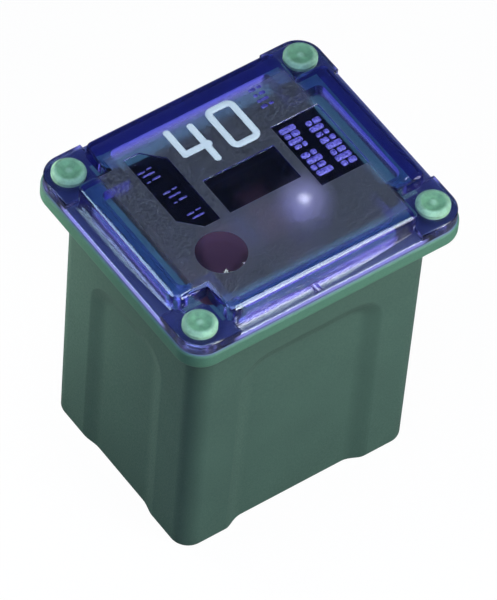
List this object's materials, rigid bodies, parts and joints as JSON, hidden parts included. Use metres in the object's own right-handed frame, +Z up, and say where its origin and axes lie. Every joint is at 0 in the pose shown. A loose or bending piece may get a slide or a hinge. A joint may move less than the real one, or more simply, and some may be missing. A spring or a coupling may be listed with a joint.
{
  "type": "cartridge fuse",
  "caption": "Plug-on cartridge fuse: a green moulded housing with blade sockets below and a clear blue-violet lid staked on top, over a copper fusible link.",
  "frame": {"origin": "middle of the underside, which stands on the surface", "axes": "+X along the row of blade sockets, +Y across it, +Z up towards the lid"},
  "size_m": [0.0216, 0.0182, 0.0249],
  "materials": {
    "green_plastic": "satin, finely grained grey-green moulding",
    "clear_violet_plastic": "clear and glossy, with a fine grain on the top of the cap",
    "copper_alloy": "bare rolled copper alloy",
    "tin": "dull cast tin",
    "spring_steel": "rolled spring steel"
  },
  "bodies": {
    "root": {"housing": "green_plastic", "cover": "clear_violet_plastic", "fuse_element": "copper_alloy", "tin_pellet": "tin", "spring_clip_left": "spring_steel", "spring_clip_right": "spring_steel"}
  },
  "joints": []
}
